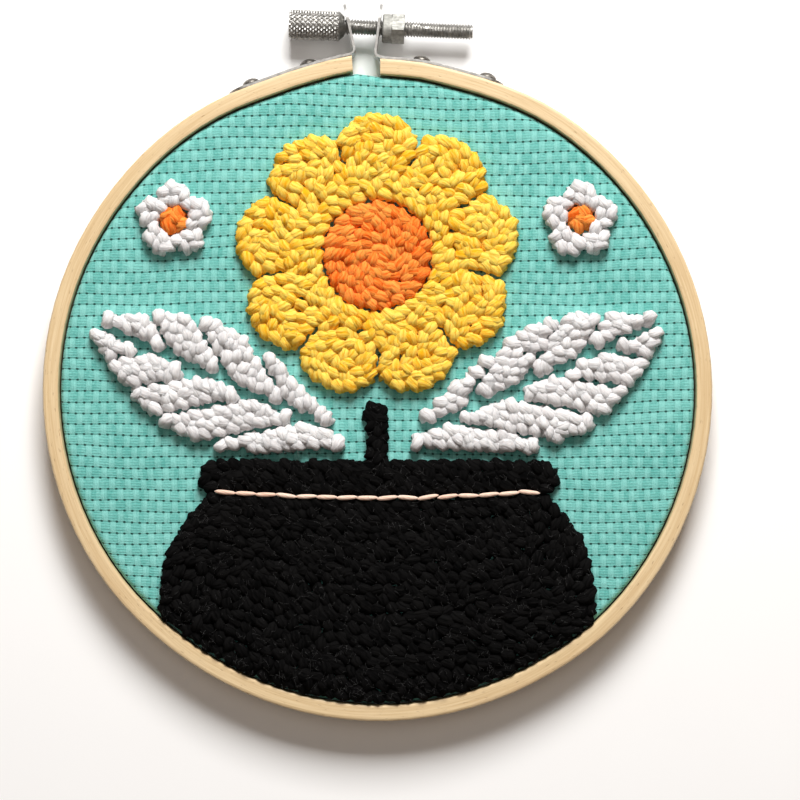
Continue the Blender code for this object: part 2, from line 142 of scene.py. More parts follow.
def new_group(name, inputs, outputs):
    """An empty shader node group with these sockets, and its input and output nodes."""
    group = bpy.data.node_groups.new(name, "ShaderNodeTree")
    for way, sockets in (("INPUT", inputs), ("OUTPUT", outputs)):
        for socket, kind in sockets.items():
            group.interface.new_socket(socket, in_out=way, socket_type="NodeSocket" + kind)
    return group, group.nodes.new("NodeGroupInput"), group.nodes.new("NodeGroupOutput")


def put_out(group, group_out, values):
    """Joins these values to the group's outputs of the same names."""
    for socket, value in values.items():
        group.links.new(value, group_out.inputs[socket])


def new_finish(name, roughness, metallic=0.0, sheen=0.0, specular=0.5):
    material = bpy.data.materials.new(name)
    material.use_nodes = True
    shader = material.node_tree.nodes["Principled BSDF"]
    shader.inputs["Roughness"].default_value = roughness
    shader.inputs["Metallic"].default_value = metallic
    shader.inputs["Sheen Weight"].default_value = sheen
    shader.inputs["Sheen Roughness"].default_value = 0.5
    shader.inputs["Specular IOR Level"].default_value = specular
    return material, material.node_tree, shader


def join_bump(tree, shader, height, depth):
    bump = add_node(tree, "ShaderNodeBump", {"Height": height, "Distance": depth})
    tree.links.new(bump.outputs["Normal"], shader.inputs["Normal"])


def place_of(tree):
    return add_node(tree, "ShaderNodeTexCoord").outputs["Object"]


bpy.ops.object.select_all(action="DESELECT")
bpy.ops.mesh.primitive_plane_add(size=6.0, location=(0.0, 0.0, -0.0002))
floor = bpy.context.object
floor.name = "table_top"
table_finish, tree, shader = new_finish("white_table", 0.85, specular=0.1)
dust = noise(tree, place_of(tree), 40.0, 3.0)
table_colour = blend_colours(tree, dust, (0.93, 0.93, 0.93), (0.95, 0.95, 0.95))
tree.links.new(table_colour, shader.inputs["Base Color"])
floor.data.materials.append(table_finish)


# Outer ring. A steam-bent strip of pale wood, sanded and left bare, with the grain running along
# the strip, split at the top, where its two ends peak a little towards the gap.
MERGE_WITHIN = 0.000004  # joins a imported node's loose triangles


def copy_of(node, name):
    """A merged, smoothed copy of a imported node, at the origin, that stands for it."""
    bpy.ops.object.select_all(action="DESELECT")
    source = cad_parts[node]
    piece = bpy.data.objects.new(name, source.data.copy())
    bpy.context.collection.objects.link(piece)
    piece.data.materials.clear()
    bpy.context.view_layer.objects.active = piece
    piece.select_set(True)
    bpy.ops.object.mode_set(mode="EDIT")
    bpy.ops.mesh.select_all(action="SELECT")
    bpy.ops.mesh.customdata_custom_splitnormals_clear()
    bpy.ops.mesh.remove_doubles(threshold=MERGE_WITHIN)
    bpy.ops.mesh.dissolve_limited(angle_limit=math.radians(0.4))
    bpy.ops.object.mode_set(mode="OBJECT")
    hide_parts(node)
    return piece


def soften_edges(piece, width, angle):
    """Rounds the sharp edges, as tumbling or sanding does, and smooths the shading."""
    bpy.context.view_layer.objects.active = piece
    edges = piece.modifiers.new("worn_edges", "BEVEL")
    edges.width = width
    edges.segments = 2
    edges.limit_method = "ANGLE"
    edges.angle_limit = math.radians(angle)
    bpy.ops.object.modifier_apply(modifier=edges.name)
    bpy.ops.object.shade_smooth_by_angle(angle=math.radians(angle))
    flats = piece.modifiers.new("flat_faces", "WEIGHTED_NORMAL")
    flats.keep_sharp = True
    bpy.ops.object.modifier_apply(modifier=flats.name)


wood_grain, group_in, group_out = new_group(
    "wood_grain",
    {"Position": "Vector", "Centre Up": "Float"},
    {"Tone": "Float", "Specks": "Float", "Height": "Float"},
)
axes = add_node(wood_grain, "ShaderNodeSeparateXYZ", {0: group_in.outputs["Position"]}).outputs
up = calc(wood_grain, "SUBTRACT", axes["Y"], group_in.outputs["Centre Up"])
across_out = calc(wood_grain, "MULTIPLY", axes["X"], -1.0)
up_out = calc(wood_grain, "MULTIPLY", up, -1.0)
turn = calc(wood_grain, "ARCTAN2", across_out, up_out)  # its seam lies in the ring's gap
flat_place = triple(wood_grain, axes["X"], up, 0.0)
reach = add_node(wood_grain, "ShaderNodeVectorMath", {0: flat_place}, operation="LENGTH")
reach = reach.outputs["Value"]


def along_grain(cells_across, cells_round, cells_deep):
    return triple(
        wood_grain,
        calc(wood_grain, "MULTIPLY", reach, cells_across),
        calc(wood_grain, "MULTIPLY", turn, cells_round),
        calc(wood_grain, "MULTIPLY", axes["Z"], cells_deep),
    )


fine = noise(wood_grain, along_grain(2600.0, 5.0, 1700.0), 1.0, 3.0, 0.65)
broad = noise(wood_grain, along_grain(620.0, 1.6, 330.0), 1.0, 2.0)
pores = noise(wood_grain, along_grain(3400.0, 46.0, 3400.0), 1.0, 1.0)
tone = calc(wood_grain, "ADD", calc(wood_grain, "MULTIPLY", fine, 0.62),
            calc(wood_grain, "MULTIPLY", broad, 0.38))
specks = ramp(wood_grain, pores, 0.66, 0.78)
height = calc(wood_grain, "SUBTRACT", fine, calc(wood_grain, "MULTIPLY", specks, 0.8))
tone = ramp(wood_grain, tone, 0.33, 0.67)
put_out(wood_grain, group_out, {"Tone": tone, "Specks": specks, "Height": height})


def wood_finish(name, dark, light, speck):
    material, tree, shader = new_finish(name, 0.5, specular=0.4)
    grain = add_node(tree, "ShaderNodeGroup", node_tree=wood_grain)
    tree.links.new(place_of(tree), grain.inputs["Position"])
    grain.inputs["Centre Up"].default_value = HOOP_UP
    colour = blend_colours(tree, grain.outputs["Tone"], dark, light)
    speck_share = calc(tree, "MULTIPLY", grain.outputs["Specks"], 0.45)
    colour = blend_colours(tree, speck_share, colour, speck)
    tree.links.new(colour, shader.inputs["Base Color"])
    tree.links.new(ramp(tree, grain.outputs["Tone"], 0.0, 1.0, 0.58, 0.46), shader.inputs["Roughness"])
    join_bump(tree, shader, grain.outputs["Height"], 0.00006)
    return material


outer_wood = wood_finish(
    "pale_bent_wood", (0.635, 0.448, 0.235), (0.785, 0.605, 0.362), (0.30, 0.17, 0.08)
)
outer_ring = copy_of("outer_ring", "outer_ring_wood")
outer_ring.data.materials.append(outer_wood)
soften_edges(outer_ring, 0.00025, 42)
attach(outer_ring, "hoop")

# Inner ring. A closed strip of the same wood behind the cloth; only its back and its inner side
# show, from behind.
inner_wood = wood_finish(
    "inner_bent_wood", (0.600, 0.418, 0.215), (0.745, 0.565, 0.332), (0.28, 0.16, 0.07)
)
inner_ring = copy_of("inner_ring", "inner_ring_wood")
inner_ring.data.materials.append(inner_wood)
bpy.context.view_layer.objects.active = inner_ring
inner_ring.select_set(True)
bpy.ops.object.shade_smooth_by_angle(angle=math.radians(42))
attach(inner_ring, "hoop")

# Cloth. Open basket weave of thick turquoise cotton, stretched over the inner ring's front edge,
# turned down between the rings and trimmed just short of the back.
ROW = 0.0026  # from one row of weft to the next
PAIR = 0.0037  # one raised square of warp threads and one cell of weft beside it
STEPS_ACROSS = 8  # of the mesh, to one PAIR
STEPS_UP = 4  # to one ROW
HALF_PAIRS = 23  # of the mesh, from its middle to its side
HALF_ROWS = 33
SQUARE_LIFT = 0.00010  # how far a raised square stands out, and a cell of weft beside it
WEFT_LIFT = 0.00004
VALLEY_DEPTH = 0.00009  # between two rows of weft
CLOTH_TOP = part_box("cloth")[1].z - 0.00018
CORNER = 0.0014  # radius where the cloth turns down over the inner ring
TRIM_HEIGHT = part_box("cloth")[0].z
TRIM_THICK = 0.0008

points = np.array([v.co[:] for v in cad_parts["cloth"].data.vertices])
turns = np.arctan2(points[:, 0], points[:, 1] - HOOP_UP)
reaches = np.hypot(points[:, 0], points[:, 1] - HOOP_UP)
rim_turns = np.linspace(-math.pi, math.pi, 96, endpoint=False)
rim_reaches = np.array(
    [reaches[np.abs((turns - t + math.pi) % (2 * math.pi) - math.pi) < 0.02].max() for t in rim_turns]
)


def cloth_rim(turn):
    """How far the cloth reaches from the hoop's centre, at a clockwise angle from the top."""
    return np.interp(turn, rim_turns, rim_reaches, period=2 * math.pi)


columns = 2 * HALF_PAIRS * STEPS_ACROSS
rows = 2 * HALF_ROWS * STEPS_UP
bpy.ops.object.select_all(action="DESELECT")
bpy.ops.mesh.primitive_grid_add(x_subdivisions=columns, y_subdivisions=rows, size=2.0)
cloth = bpy.context.object
cloth.name = "stretched_cloth"
grid = np.empty(len(cloth.data.vertices) * 3)
cloth.data.vertices.foreach_get("co", grid)
grid = grid.reshape(-1, 3)
pairs = grid[:, 0] * HALF_PAIRS  # across and up, counted in pairs and rows
weft = grid[:, 1] * HALF_ROWS
row_number = np.floor(weft + 1e-6)
in_row = weft - row_number
beside = np.abs((pairs + 0.5 * (row_number % 2)) % 1.0 - 0.5)  # 0 on a raised square, 0.5 between
raised = np.clip((0.29 - beside) / 0.16, 0, 1)
lift = SQUARE_LIFT * raised + WEFT_LIFT * (1 - raised) * np.cos((0.5 - beside) * 6)
valley = np.clip((np.abs(in_row - 0.5) - 0.20) / 0.30, 0, 1) ** 1.5
lift = lift * (1 - valley) - VALLEY_DEPTH * valley
wander = np.random.default_rng(7)  # the threads run a little crooked
wave = [wander.uniform(0, 6.28, 8) for _ in range(2)]
flat_x = pairs * PAIR + 0.00022 * np.sin(weft * 0.9 + wave[0][0]) * np.sin(pairs * 0.7 + wave[0][1])
flat_x += 0.00055 * np.sin(weft * 0.13 + wave[0][2])
flat_y = weft * ROW + 0.00016 * np.sin(pairs * 0.9 + 2.0 * np.sin(weft * 0.8) + wave[1][0])
flat_y += 0.00060 * np.sin(pairs * 0.22 + weft * 0.05 + wave[1][2])
turn = np.arctan2(flat_x, flat_y)
flat_reach = np.hypot(flat_x, flat_y)
edge = cloth_rim(turn)
arc_start = edge - CORNER
arc_share = np.clip((flat_reach - arc_start) / CORNER, 0, math.pi / 2)
down = np.clip(flat_reach - arc_start - CORNER * math.pi / 2, 0, None)
skirt_height = CLOTH_TOP - CORNER - TRIM_HEIGHT
past_trim = down - skirt_height
down = np.minimum(down, skirt_height)
outward = np.where(flat_reach > arc_start, arc_start + CORNER * np.sin(arc_share), flat_reach)
outward -= np.clip(past_trim, 0, TRIM_THICK)  # the cut edge, as thick as the cloth
height = CLOTH_TOP - CORNER * (1 - np.cos(arc_share)) - down
lift_flat = lift * np.cos(arc_share)
lift_out = np.minimum(lift * np.sin(arc_share), 0.0) * 0.6 - 0.0001 * np.sin(arc_share)
placed = np.column_stack(
    [
        (outward + lift_out) * np.sin(turn),
        (outward + lift_out) * np.cos(turn) + HOOP_UP,
        height + lift_flat,
    ]
)
cloth.data.vertices.foreach_set("co", placed.ravel())
threads = cloth.data.uv_layers[0]
threads.name = "threads"
places = np.empty(len(threads.data) * 2)
threads.data.foreach_get("uv", places)
threads.data.foreach_set("uv", ((places.reshape(-1, 2) * 2 - 1) * [HALF_PAIRS, HALF_ROWS]).ravel())
shape = bmesh.new()
shape.from_mesh(cloth.data)
shape.verts.ensure_lookup_table()
cut_off = [shape.verts[i] for i in np.flatnonzero(past_trim > TRIM_THICK + 0.0002)]
bmesh.ops.delete(shape, geom=cut_off, context="VERTS")
shape.to_mesh(cloth.data)
shape.free()
cloth.data.shade_smooth()

# The weave's tone is partly painted light, lighter on the thread crests and raised squares. Two masks
# mark where painted shade goes: the valleys between rows, and the holes.
weave_threads, group_in, group_out = new_group(
    "weave_threads", {"Threads": "Vector"},
    {"Tone": "Float", "Shaded Valleys": "Float", "Shaded Holes": "Float", "Height": "Float"},
)
axes = add_node(weave_threads, "ShaderNodeSeparateXYZ", {0: group_in.outputs["Threads"]}).outputs
row_number = calc(weave_threads, "FLOOR", axes["Y"])
in_row = calc(weave_threads, "SUBTRACT", axes["Y"], row_number)
shift = calc(weave_threads, "MULTIPLY", calc(weave_threads, "FLOORED_MODULO", row_number, 2.0), 0.5)
shifted = calc(weave_threads, "ADD", axes["X"], shift)
in_pair = calc(weave_threads, "FRACT", shifted)
from_middle = calc(weave_threads, "SUBTRACT", in_pair, 0.5)
beside = calc(weave_threads, "ABSOLUTE", from_middle)
raised = ramp(weave_threads, beside, 0.21, 0.17)
from_row = calc(weave_threads, "ABSOLUTE", calc(weave_threads, "SUBTRACT", in_row, 0.5))
slub_place = triple(
    weave_threads, calc(weave_threads, "MULTIPLY", axes["X"], 1.3),
    calc(weave_threads, "MULTIPLY", axes["Y"], 4.0), 0.0,
)
slubs = noise(weave_threads, slub_place, 1.0, 2.0)
bent = calc(weave_threads, "MULTIPLY", calc(weave_threads, "SUBTRACT", slubs, 0.5), 0.16)


def thread_wave(across, turns, power):
    """Rounded threads side by side: 1 on the middle of each and 0 between two."""
    turned = calc(weave_threads, "MULTIPLY", calc(weave_threads, "ADD", across, bent), math.pi * turns)
    wave = calc(weave_threads, "ABSOLUTE", calc(weave_threads, "SINE", turned))
    return calc(weave_threads, "POWER", wave, power)


weft_wave = thread_wave(in_row, 4, 0.7)
warp_wave = thread_wave(from_middle, 8, 0.6)
wave_mix = calc(
    weave_threads, "ADD",
    calc(weave_threads, "MULTIPLY", warp_wave, raised),
    calc(weave_threads, "MULTIPLY", weft_wave, calc(weave_threads, "SUBTRACT", 1.0, raised)),
)
cell_place = triple(
    weave_threads, calc(weave_threads, "FLOOR", calc(weave_threads, "MULTIPLY", shifted, 2.0)),
    row_number, 0.0,
)
cell_tone = add_node(
    weave_threads, "ShaderNodeTexWhiteNoise", {"Vector": cell_place}, noise_dimensions="2D"
).outputs["Value"]
fibre_place = triple(
    weave_threads, calc(weave_threads, "MULTIPLY", axes["X"], 6.5),
    calc(weave_threads, "MULTIPLY", axes["Y"], 4.6), 0.0,
)
fibres = noise(weave_threads, fibre_place, 1.0, 4.0, 0.8)
# Painted light: the middle of each thread and the raised squares lighter, as where light falls on them.
# The cell tone and fibres are the cloth's own.
tone = calc(weave_threads, "MULTIPLY", wave_mix, 0.12)
tone = calc(weave_threads, "MULTIPLY_ADD", raised, 0.17, tone)
tone = calc(weave_threads, "MULTIPLY_ADD", cell_tone, 0.17, tone)
tone = calc(weave_threads, "MULTIPLY_ADD", fibres, 0.80, tone)
bent_from_row = calc(weave_threads, "MULTIPLY_ADD", bent, 0.12, from_row)
# Painted shade: a broken dark line along each valley between rows of weft and along the sides of the
# raised squares.
broken = ramp(weave_threads, noise(weave_threads, slub_place, 3.1, 2.0), 0.36, 0.60, 0.40, 0.95)
shaded_valleys = ramp(weave_threads, bent_from_row, 0.385, 0.490)
shaded_valleys = calc(weave_threads, "MULTIPLY", shaded_valleys, broken)
from_side = calc(weave_threads, "ABSOLUTE", calc(weave_threads, "SUBTRACT", beside, 0.205))
shaded_square_sides = calc(weave_threads, "MULTIPLY", ramp(weave_threads, from_side, 0.040, 0.0), 0.36)
shaded_valleys = calc(weave_threads, "MAXIMUM", shaded_valleys, shaded_square_sides)
# Painted shade: the holes where the threads part, later coloured near black.
hole_across = calc(weave_threads, "DIVIDE", calc(weave_threads, "SUBTRACT", beside, 0.25), 0.100)
hole_up = calc(weave_threads, "DIVIDE", calc(weave_threads, "SUBTRACT", from_row, 0.5), 0.115)
hole_reach = add_node(
    weave_threads, "ShaderNodeVectorMath", {0: triple(weave_threads, hole_across, hole_up, 0.0)},
    operation="LENGTH",
).outputs["Value"]
hole_size = calc(weave_threads, "MULTIPLY_ADD", fibres, -0.9, hole_reach)
shaded_holes = ramp(weave_threads, hole_size, 0.70, 0.05)
height = calc(weave_threads, "MULTIPLY", wave_mix, 0.30)
height = calc(weave_threads, "MULTIPLY_ADD", fibres, 0.9, height)
height = calc(weave_threads, "MULTIPLY_ADD", shaded_valleys, -0.35, height)
height = calc(weave_threads, "MULTIPLY_ADD", shaded_holes, -0.9, height)
put_out(
    weave_threads, group_out,
    {"Tone": tone, "Shaded Valleys": shaded_valleys, "Shaded Holes": shaded_holes, "Height": height},
)

cloth_finish, tree, shader = new_finish("turquoise_weave", 0.92, sheen=0.15, specular=0.15)
uv = add_node(tree, "ShaderNodeUVMap", uv_map="threads").outputs["UV"]
weave = add_node(tree, "ShaderNodeGroup", node_tree=weave_threads)
tree.links.new(uv, weave.inputs["Threads"])
large = noise(tree, uv, 0.18, 2.0)
tone = calc(tree, "MULTIPLY_ADD", large, 0.25, weave.outputs["Tone"])
tone = ramp(tree, tone, 0.36, 1.08)
# The two turquoises, mixed by the cloth's own varied tone and by the painted light on crests and raised
# squares.
colour = blend_colours(tree, tone, (0.078, 0.365, 0.322), (0.262, 0.645, 0.592))
# Painted shade, darker along the valleys between rows and beside the raised squares.
colour = blend_colours(
    tree, calc(tree, "MULTIPLY", weave.outputs["Shaded Valleys"], 0.48), colour, (0.022, 0.150, 0.118)
)
# Painted shade: the holes of the weave near black.
colour = blend_colours(
    tree, calc(tree, "MULTIPLY", weave.outputs["Shaded Holes"], 0.80), colour, (0.002, 0.030, 0.022)
)
tree.links.new(colour, shader.inputs["Base Color"])
join_bump(tree, shader, weave.outputs["Height"], 0.00016)
cloth.data.materials.append(cloth_finish)
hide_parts("cloth")
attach(cloth, "hoop")

# Stitched areas. Thick low-twist yarn punched through the cloth from behind in rows that follow
# each area's edge: every stitch leaves one standing loop in front and one flat stitch behind.
ROUND_STRAND = 9
ALONG_LOOP = 10
HALF_SPAN = 0.00118  # from a loop's middle to its legs
HALF_WIDTH = 0.00160  # of the strand, seen from the front
HALF_THICK = 0.00112
PLY_DEPTH = 0.075  # how far the plies stand out, as a share of the strand
LOOP_HEIGHT = 0.0040  # above the cloth
FIRST_ROW = 0.00122  # from an area's edge to the middle of its first row
ROW_GAP = 0.00255
LOOP_PITCH = 0.0031
NEAREST_LOOP = 0.74  # of the usual spacing
GRID_STEP = 0.0005  # of the points where loops may stand
EDGE_CLEAR = 0.0009  # no filling loop stands nearer to an area's edge
WIDEST_GAP = 0.00172  # that stays open between loops
CLOTH_FACE = 0.0089  # the heights where the loops and the stitches behind start
BACK_FACE = 0.0082
OUTLINE_ABOVE = 0.0112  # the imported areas' front faces lie higher than this
CRUSHED_WITHIN = 0.0035  # of the rim, where the outer ring squeezes the loops
CRUSHED_BY = 0.00045
UNEVEN_BY = 0.00012  # how far a loop's strand is pushed out of shape by its neighbours
UNEVEN_RATE = 3900  # radians to a metre
INNER_RING_WITHIN = 0.0073  # of the rim, where the inner ring leaves no room for stitches behind


def strand_template(name, stations, centre_line, thickness, width, plies, start_turn):
    """A strand swept along a line in the XZ plane: its points, faces, and places along and round."""
    bpy.ops.object.select_all(action="DESELECT")
    bpy.ops.mesh.primitive_grid_add(x_subdivisions=ROUND_STRAND, y_subdivisions=stations, size=2.0)
    strand = bpy.context.object
    strand.name = name
    data = strand.data
    for vertex in data.vertices:
        share = (vertex.co.y + 1) / 2
        turn = math.pi * (vertex.co.x + 1) - math.pi / 2  # the seam runs along the inner side
        here = centre_line(share)
        ahead = centre_line(share + 0.01) - centre_line(share - 0.01)
        ahead.normalize()
        outward = ahead.cross(Vector((0.0, 1.0, 0.0))).normalized() * -1
        lobes = 1 + PLY_DEPTH * math.cos(plies * turn + start_turn + 5.0 * share)
        vertex.co = (
            here
            + outward * (thickness(share) * lobes * math.sin(turn))
            + Vector((0.0, 1.0, 0.0)) * (width(share) * lobes * math.cos(turn))
        )
    bpy.ops.object.mode_set(mode="EDIT")
    bpy.ops.mesh.select_all(action="SELECT")
    bpy.ops.mesh.remove_doubles(threshold=0.000001)
    bpy.ops.mesh.normals_make_consistent(inside=False)
    bpy.ops.object.mode_set(mode="OBJECT")
    made = {
        "points": np.array([v.co[:] for v in data.vertices]),
        "faces": np.array([p.vertices[:] for p in data.polygons]),
        "uv": np.array([
            data.uv_layers[0].data[corner].uv[:]
            for p in data.polygons for corner in p.loop_indices
        ]),
    }
    bpy.data.objects.remove(strand)
    return made


def loop_line(lean):
    def line(share):
        turn = math.pi * share
        return Vector((
            -HALF_SPAN * math.cos(turn) + lean * math.sin(turn) ** 2,
            0.0003 * math.sin(2 * turn),
            (LOOP_HEIGHT - HALF_THICK) * max(0.0, math.sin(turn)) ** 0.75,
        ))
    return line


loop_templates = [
    strand_template(
        f"loop_{number}", ALONG_LOOP, loop_line(lean),
        lambda share: HALF_THICK * (0.80 + 0.20 * max(0.0, math.sin(math.pi * share)) ** 0.5),
        lambda share: HALF_WIDTH * (0.82 + 0.18 * max(0.0, math.sin(math.pi * share)) ** 0.5),
        3, start,
    )
    for number, (lean, start) in enumerate(
        ((0.0, 0.0), (0.00022, 1.1), (-0.00020, 2.2), (0.0001, 3.3), (-0.0003, 4.4))
    )
]
FLAT_LENGTH = 0.0036  # of a stitch behind the cloth
FLAT_ARCH = 0.00045
FLAT_THICK = 0.00048  # half its thickness and half its width
FLAT_WIDTH = 0.00116


def flat_line(share):
    return Vector((
        FLAT_LENGTH * (share - 0.5), 0.0, FLAT_ARCH * math.sin(math.pi * min(max(share, 0), 1)),
    ))


flat_template = strand_template(
    "flat_stitch", 7, flat_line,
    lambda share: FLAT_THICK * (0.25 + 0.75 * max(0.0, math.sin(math.pi * share)) ** 0.4),
    lambda share: FLAT_WIDTH * (0.25 + 0.75 * max(0.0, math.sin(math.pi * share)) ** 0.4),
    3, 0.5,
)


def area_outlines(node):
    """The closed outlines of a stitched area's front face, as arrays of points."""
    shape = bmesh.new()
    shape.from_mesh(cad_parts[node].data)
    bmesh.ops.remove_doubles(shape, verts=shape.verts, dist=MERGE_WITHIN)
    front = {f for f in shape.faces if f.normal.z > 0.9}
    edges = {e for e in shape.edges if sum(f in front for f in e.link_faces) == 1}
    edges = {e for e in edges if min(v.co.z for v in e.verts) > OUTLINE_ABOVE}
    outlines = []
    while edges:
        edge = edges.pop()
        start, vertex = edge.verts
        outline = [start.co.xy[:], vertex.co.xy[:]]
        while vertex is not start:
            edge = next(e for e in vertex.link_edges if e in edges)
            edges.discard(edge)
            vertex = edge.other_vert(vertex)
            outline.append(vertex.co.xy[:])
        outlines.append(np.array(outline[:-1]))
    shape.free()
    return outlines


def distance_to_line(points, start, end):
    along = np.subtract(end, start)
    share = np.clip((points - start) @ along / max(along @ along, 1e-16), 0, 1)
    return np.hypot(*(points - start - share[:, None] * along).T)


def depth_inside(points, outlines, bare_lines):
    """How far inside the stitched area each point lies; below zero outside it or on a bare line."""
    nearest = np.full(len(points), 1.0)
    crossings = np.zeros(len(points), int)
    for outline in outlines:
        for start, end in zip(outline, np.roll(outline, -1, axis=0)):
            nearest = np.minimum(nearest, distance_to_line(points, start, end))
            rise = end[1] - start[1]
            spans = (start[1] > points[:, 1]) != (end[1] > points[:, 1])
            if rise:
                where = start[0] + (end[0] - start[0]) * (points[:, 1] - start[1]) / rise
                crossings += spans & (points[:, 0] < where)
    depth = np.where(crossings % 2 == 1, nearest, -nearest)
    for start, end, half_width in bare_lines:
        depth = np.minimum(depth, distance_to_line(points, np.array(start), np.array(end)) - half_width)
    return depth


def crowding(points, here, way):
    """How far points lie from a loop, counted in loops along its row and in rows across it."""
    east, north = (points - here).T
    along = (east * math.cos(way) + north * math.sin(way)) / LOOP_PITCH
    across = (north * math.cos(way) - east * math.sin(way)) / ROW_GAP
    return np.hypot(along, across)


def loop_places(outlines, bare_lines, draws):
    """Where the loops stand, in rows along the edge: across, up, direction and depth of each."""
    corners = np.concatenate(outlines)
    low, high = corners.min(axis=0) - 0.002, corners.max(axis=0) + 0.002
    across = np.arange(low[0], high[0], GRID_STEP)
    up = np.arange(low[1], high[1], GRID_STEP)
    grid = np.stack(np.meshgrid(across, up), axis=-1)
    depth = depth_inside(grid.reshape(-1, 2), outlines, bare_lines).reshape(grid.shape[:2])
    slope_up, slope_across = np.gradient(depth, GRID_STEP)
    slope = np.stack([slope_across, slope_up], axis=-1)
    slope /= np.maximum(np.linalg.norm(slope, axis=-1, keepdims=True), 1e-6)
    places = np.empty((0, 4))
    level = FIRST_ROW
    while level < depth.max():
        near = np.abs(depth - level) < GRID_STEP * 0.8
        left = grid[near] + slope[near] * (level - depth[near])[:, None]
        direction = np.arctan2(slope[near][:, 0], -slope[near][:, 1])
        this = np.argmin(left[:, 0] + left[:, 1]) if len(left) else 0
        while len(left):
            here, way = left[this], direction[this]
            if not len(places) or crowding(places[:, :2], here, way).min() > NEAREST_LOOP:
                places = np.vstack([places, [*here, way, level]])
            gap = np.hypot(*(left - here).T)
            keep = crowding(left, here, way) > draws.uniform(0.90, 1.0)
            left, direction, gap = left[keep], direction[keep], gap[keep]
            this = np.argmin(gap) if len(gap) else 0
        level += ROW_GAP
    spare = grid[depth > EDGE_CLEAR]
    spare_depth = depth[depth > EDGE_CLEAR]
    while len(spare):
        gaps = np.min(np.hypot(spare[:, :1] - places[:, 0], spare[:, 1:] - places[:, 1]), axis=1)
        open_spots = gaps > WIDEST_GAP
        spare, spare_depth, gaps = spare[open_spots], spare_depth[open_spots], gaps[open_spots]
        if not len(spare):
            break
        widest = np.argmax(gaps)
        nearest = np.argmin(np.hypot(*(places[:, :2] - spare[widest]).T))
        places = np.vstack([places, [*spare[widest], places[nearest, 2], spare_depth[widest]]])
    return places


def gathered_mesh(name, batches):
    """One mesh from many copies: each batch is (points of every copy, faces, uv, tone of each)."""
    points, faces, uvs, tones, count = [], [], [], [], 0
    for copies, face_table, uv, tone in batches:
        number, size = copies.shape[:2]
        points.append(copies.reshape(-1, 3))
        offsets = count + np.arange(number) * size
        faces.append((face_table[None] + offsets[:, None, None]).reshape(-1, face_table.shape[1]))
        uvs.append(np.tile(uv, (number, 1)))
        tones.append(np.repeat(tone, size))
        count += number * size
    mesh = bpy.data.meshes.new(name)
    mesh.from_pydata(np.concatenate(points), [], np.concatenate(faces).tolist())
    layer = mesh.uv_layers.new(name="strand")
    layer.data.foreach_set("uv", np.concatenate(uvs).astype(np.float32).ravel())
    shade = mesh.attributes.new("loop_tone", "FLOAT", "POINT")
    shade.data.foreach_set("value", np.concatenate(tones).astype(np.float32))
    mesh.shade_smooth()
    piece = bpy.data.objects.new(name, mesh)
    bpy.context.collection.objects.link(piece)
    return piece


def turned_copies(points, places, base, yaw, lean, scales, lean_way):
    """Copies of a template stood at places, turned by yaw, leaned over and scaled."""
    copies = points[None] * scales[:, None, :]
    cos_yaw, sin_yaw = np.cos(yaw)[:, None], np.sin(yaw)[:, None]
    x = copies[..., 0] * cos_yaw - copies[..., 1] * sin_yaw
    y = copies[..., 0] * sin_yaw + copies[..., 1] * cos_yaw
    z = copies[..., 2]
    x = x + z * (lean * np.cos(lean_way))[:, None]
    y = y + z * (lean * np.sin(lean_way))[:, None]
    return np.stack([x + places[:, :1], y + places[:, 1:2], z + base], axis=-1)


STRAY = 2.0  # added to a stray fibre's tone, so that its finish can tell it from a loop
HAIR_SIDES = 3
HAIR_STEPS = 4
HAIR_LENGTH = 0.0020
HAIR_RADIUS = 0.000018
HAIR_SPREAD = 0.0007  # round the middle of its loop
LOWEST_HAIR = 0.0094
hair_faces = np.array([
    (
        step * HAIR_SIDES + side, step * HAIR_SIDES + (side + 1) % HAIR_SIDES,
        (step + 1) * HAIR_SIDES + (side + 1) % HAIR_SIDES, (step + 1) * HAIR_SIDES + side,
    )
    for step in range(HAIR_STEPS - 1) for side in range(HAIR_SIDES)
])


def stray_hairs(places, number, draws):
    """Fine curved fibres that stand off the loops, as tapered three-sided strands."""
    chosen = draws.integers(0, len(places), number)
    start = np.column_stack([
        places[chosen, 0] + draws.normal(0, HAIR_SPREAD, number),
        places[chosen, 1] + draws.normal(0, HAIR_SPREAD, number),
        np.full(number, CLOTH_FACE + LOOP_HEIGHT) - draws.uniform(0.0002, 0.0012, number),
    ])
    way = draws.uniform(0, 2 * math.pi, number)
    rise = draws.uniform(-0.1, 0.75, number)
    ahead = np.column_stack([np.cos(way), np.sin(way), rise])
    aside = np.column_stack([-np.sin(way), np.cos(way), np.zeros(number)])
    length = HAIR_LENGTH * draws.uniform(0.4, 1.0, number)
    curl = draws.uniform(-0.7, 0.7, number)
    copies = []
    for step in range(HAIR_STEPS):
        share = step / (HAIR_STEPS - 1)
        middle = start + ahead * (length * share)[:, None] + aside * (curl * length * share**2)[:, None]
        middle[:, 2] -= length * share**2 * 0.35
        radius = HAIR_RADIUS * (1 - 0.7 * share)
        for side in range(HAIR_SIDES):
            turn = 2 * math.pi * side / HAIR_SIDES
            upward = np.array([0, 0, radius * math.sin(turn)])
            copies.append(middle + aside * radius * math.cos(turn) + upward)
    copies = np.stack(copies, axis=1)
    copies[..., 2] = np.maximum(copies[..., 2], LOWEST_HAIR)
    uv = np.tile([0.5, 0.5], (len(hair_faces) * 4, 1))
    return copies, hair_faces, uv, draws.uniform(0, 1, number) + STRAY


